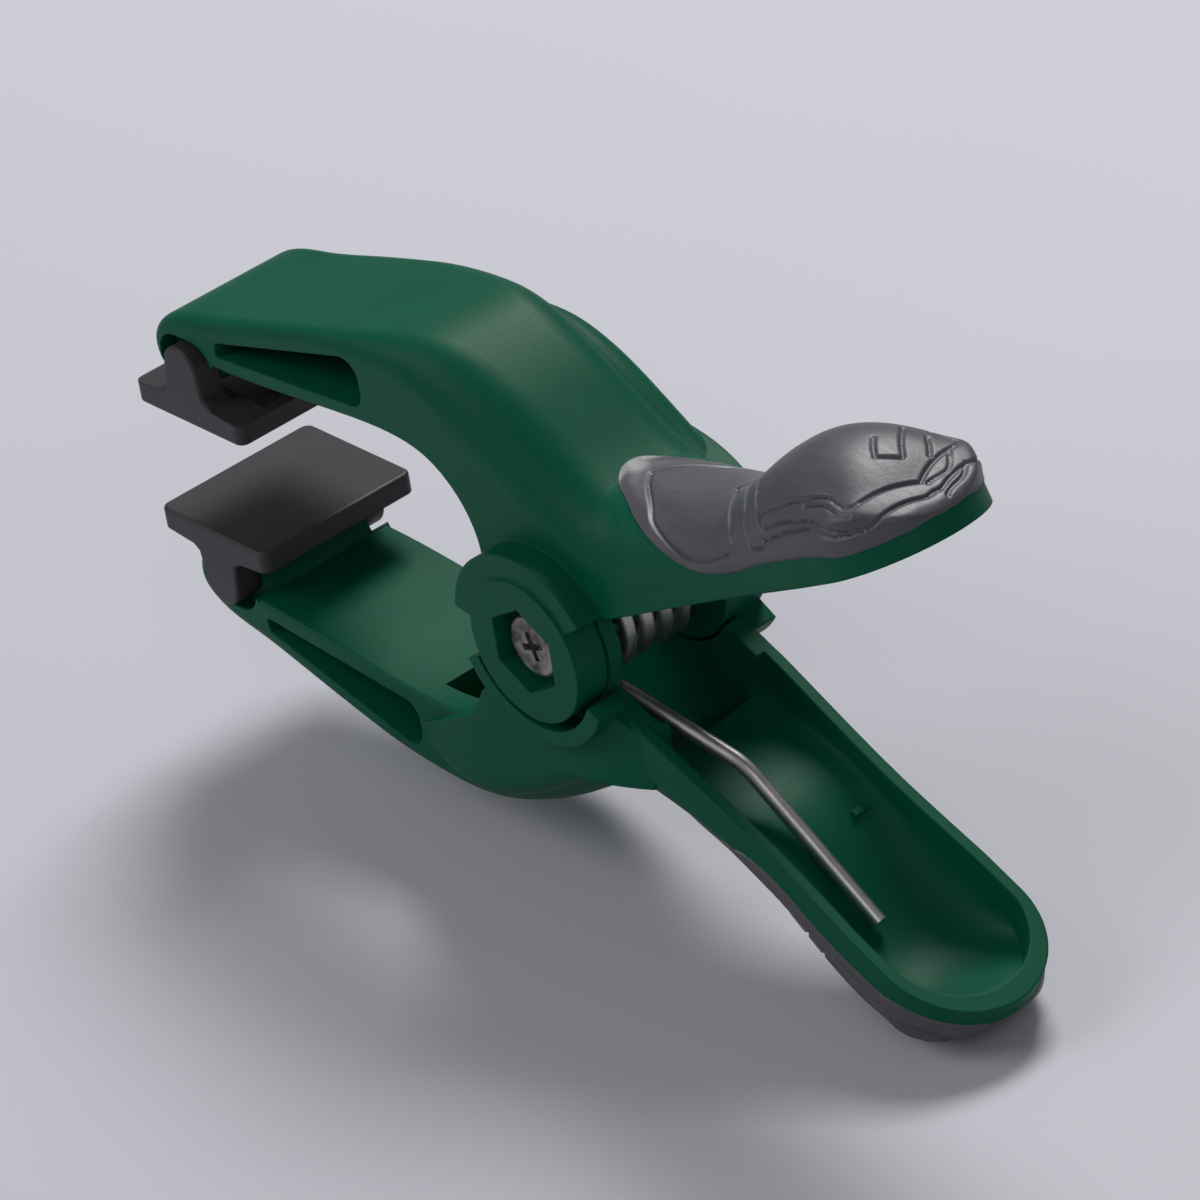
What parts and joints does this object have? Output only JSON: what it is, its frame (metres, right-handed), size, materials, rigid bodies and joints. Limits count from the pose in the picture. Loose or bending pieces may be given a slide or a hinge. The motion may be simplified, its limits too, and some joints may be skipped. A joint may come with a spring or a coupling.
{
  "type": "spring clamp",
  "caption": "Hand spring clamp: crossed moulded arms on a screwed pivot with a torsion spring, swivelling jaw pads on the deep C-shaped jaws and soft grips on the handles.",
  "frame": {"origin": "centre of the lower jaw pad's clamping face, with the pads flat and 23 mm apart", "axes": "+Z from the lower jaw to the upper jaw, +X from the jaws to the handles, Y along the pivot"},
  "size_m": [0.205, 0.0452, 0.1132],
  "materials": {
    "arm_plastic": "dark green glass-filled nylon, satin with a fine grain",
    "grip_rubber": "dark grey soft overmould, satin",
    "pad_plastic": "near-black moulded plastic",
    "spring_steel": "drawn spring wire, nickelled",
    "pivot_steel": "blackened steel"
  },
  "bodies": {
    "lower_side": {"lower_arm": "arm_plastic", "lower_grip": "grip_rubber", "pivot_screw": "pivot_steel", "pivot_barrel_nut": "pivot_steel", "torsion_spring": "spring_steel"},
    "upper_side": {"upper_arm": "arm_plastic", "upper_grip": "grip_rubber"},
    "upper_pad": {"upper_jaw_pad": "pad_plastic"},
    "lower_pad": {"lower_jaw_pad": "pad_plastic"}
  },
  "joints": [
    {"name": "arm_pivot", "type": "hinge", "parent": "lower_side", "child": "upper_side", "pos_m": [0.096, 0, 0.0115], "axis": [0, 1, 0], "range_deg": [-13.3, 34], "stiffness_Nm_per_rad": 2.9, "springref_deg": -45.84, "deforming": ["torsion_spring"]},
    {"name": "upper_pad_swivel", "type": "hinge", "parent": "upper_side", "child": "upper_pad", "pos_m": [0, 0, 0.0345], "axis": [0, 1, 0], "range_deg": [-18, 18]},
    {"name": "lower_pad_swivel", "type": "hinge", "parent": "lower_side", "child": "lower_pad", "pos_m": [0, 0, -0.0115], "axis": [0, 1, 0], "range_deg": [-18, 18]}
  ],
  "couplings": [
    {"joint": "upper_pad_swivel", "follows": "arm_pivot", "ratio": -0.5},
    {"joint": "lower_pad_swivel", "follows": "arm_pivot", "ratio": 0.5}
  ]
}
